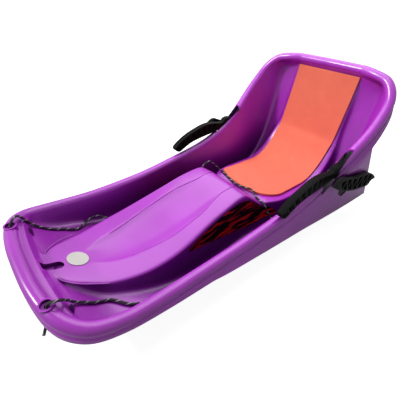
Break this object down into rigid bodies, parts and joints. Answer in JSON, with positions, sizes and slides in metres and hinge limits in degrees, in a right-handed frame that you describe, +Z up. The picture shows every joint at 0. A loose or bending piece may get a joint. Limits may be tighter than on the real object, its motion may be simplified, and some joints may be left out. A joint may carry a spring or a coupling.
{
  "type": "bobsled",
  "caption": "Child's moulded bobsled with a rolled rim, raised middle body, leg channels, high back, seat pad, two brake levers and a tow rope.",
  "frame": {"origin": "on the ground, under the middle of the sled's box", "axes": "+Z up, nose towards -Y, backrest at +Y, the rider's left at +X"},
  "size_m": [0.477, 0.9521, 0.3811],
  "materials": {
    "hull_plastic": "glossy purple polyethylene",
    "lever_plastic": "black satin plastic",
    "pin_steel": "plain steel",
    "pad_foam": "matt coral closed-cell foam",
    "decal_film": "black film with dark red flame shapes",
    "label_film": "plain off-white film",
    "rope_cord": "black braided cord with light flecks"
  },
  "bodies": {
    "sled": {"hull": "hull_plastic", "brake_pin_left": "pin_steel", "brake_pin_right": "pin_steel", "seat_pad": "pad_foam", "hump_decal_left": "decal_film", "hump_decal_right": "decal_film", "nose_label": "label_film", "tow_rope": "rope_cord", "rope_knot_left": "rope_cord", "rope_knot_right": "rope_cord"},
    "left_brake": {"brake_lever_left": "lever_plastic"},
    "right_brake": {"brake_lever_right": "lever_plastic"}
  },
  "joints": [
    {"name": "left_brake_pivot", "type": "hinge", "parent": "sled", "child": "left_brake", "pos_m": [0.2, 0.267, 0.153], "axis": [-1, 0, 0], "range_deg": [0, 40]},
    {"name": "right_brake_pivot", "type": "hinge", "parent": "sled", "child": "right_brake", "pos_m": [-0.2, 0.267, 0.153], "axis": [-1, 0, 0], "range_deg": [0, 40]}
  ]
}
